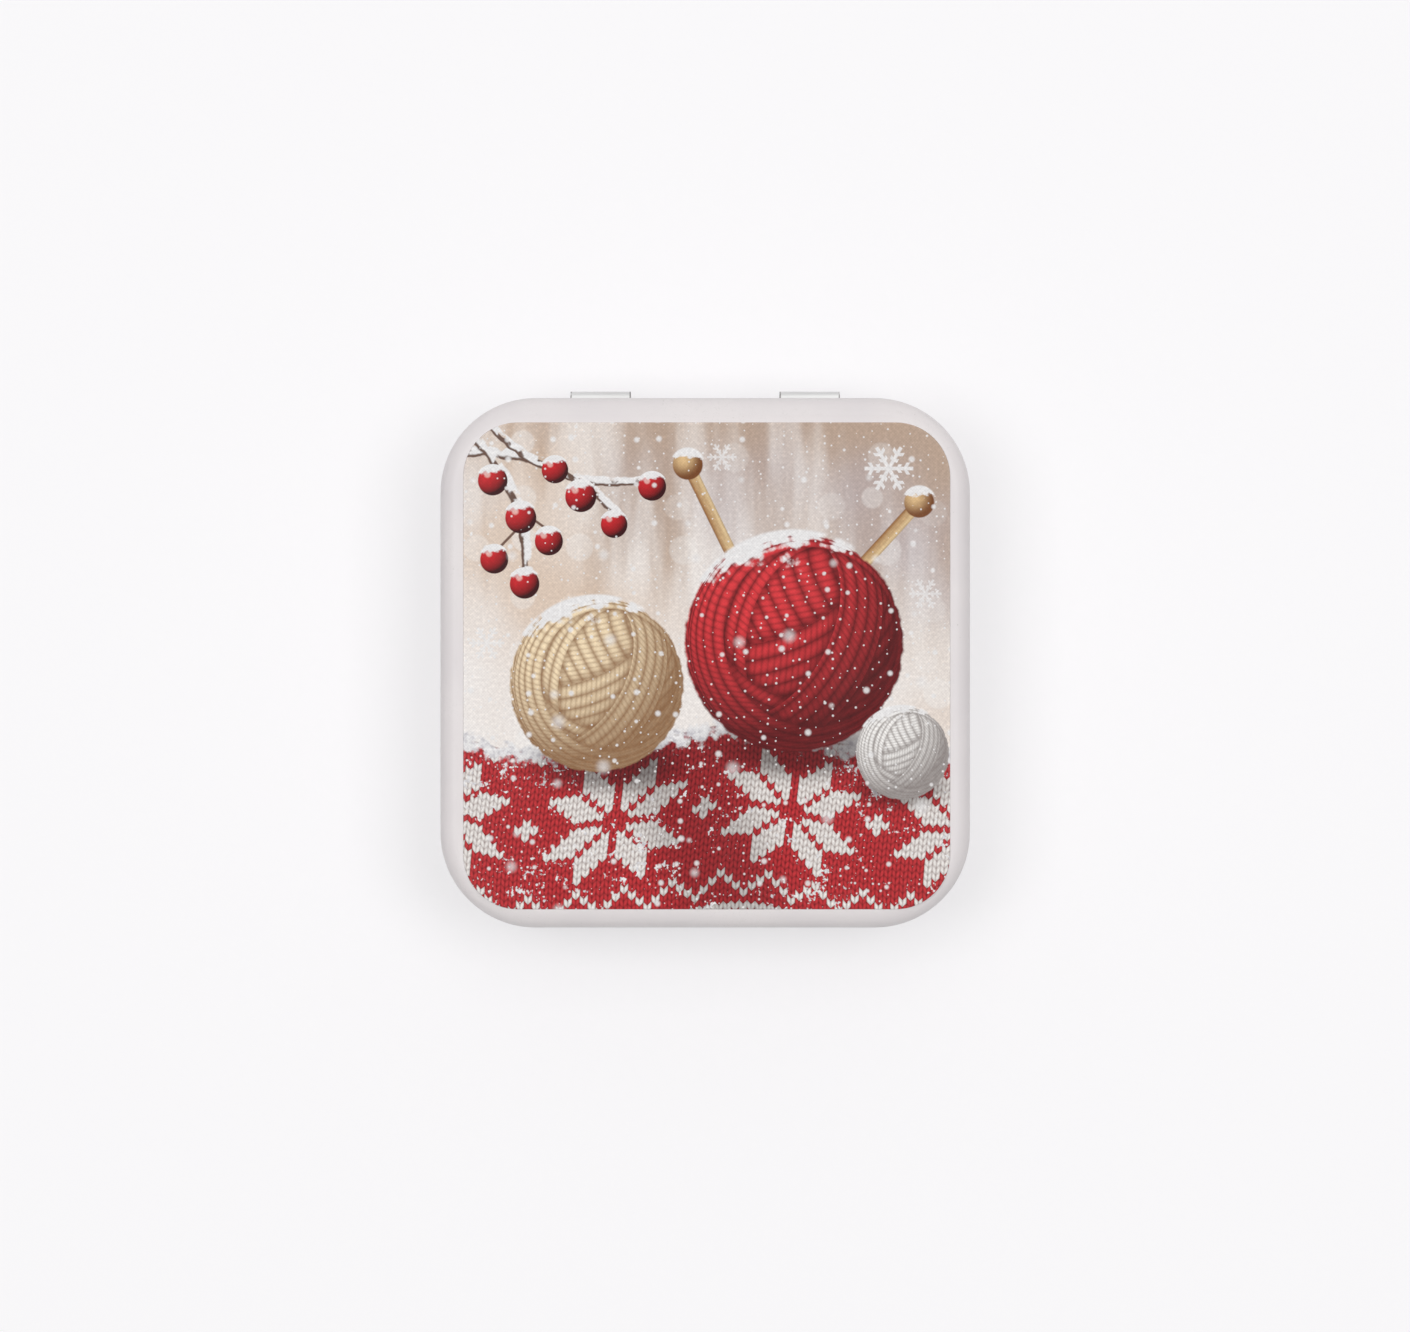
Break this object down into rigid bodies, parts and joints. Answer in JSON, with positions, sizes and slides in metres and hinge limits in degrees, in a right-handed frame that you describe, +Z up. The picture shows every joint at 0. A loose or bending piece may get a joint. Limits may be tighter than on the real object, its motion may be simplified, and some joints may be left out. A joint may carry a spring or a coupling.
{
  "type": "hinged tin",
  "caption": "Small square tin with rounded corners, an overlapping hinged lid with a printed label on top, rolled edges and curled hinge tabs at the rear.",
  "frame": {"origin": "middle of the flat underside that the tin stands on", "axes": "+Z up through the lid, -Y to the front, +Y to the hinge at the rear, +X to the right seen from the front"},
  "size_m": [0.07, 0.0711, 0.022],
  "materials": {
    "base_enamel": "satin white enamel outside, bare tinplate inside",
    "lid_enamel": "satin white enamel outside, bare tinplate inside",
    "printed_label": "printed picture under a clear semi-gloss film"
  },
  "bodies": {
    "base": {"base_tray": "base_enamel"},
    "lid": {"lid_shell": "lid_enamel", "picture_label": "printed_label"}
  },
  "joints": [
    {"name": "lid_hinge", "type": "hinge", "parent": "base", "child": "lid", "pos_m": [0, 0.03425, 0.01445], "axis": [-1, 0, 0], "range_deg": [0, 105]}
  ]
}
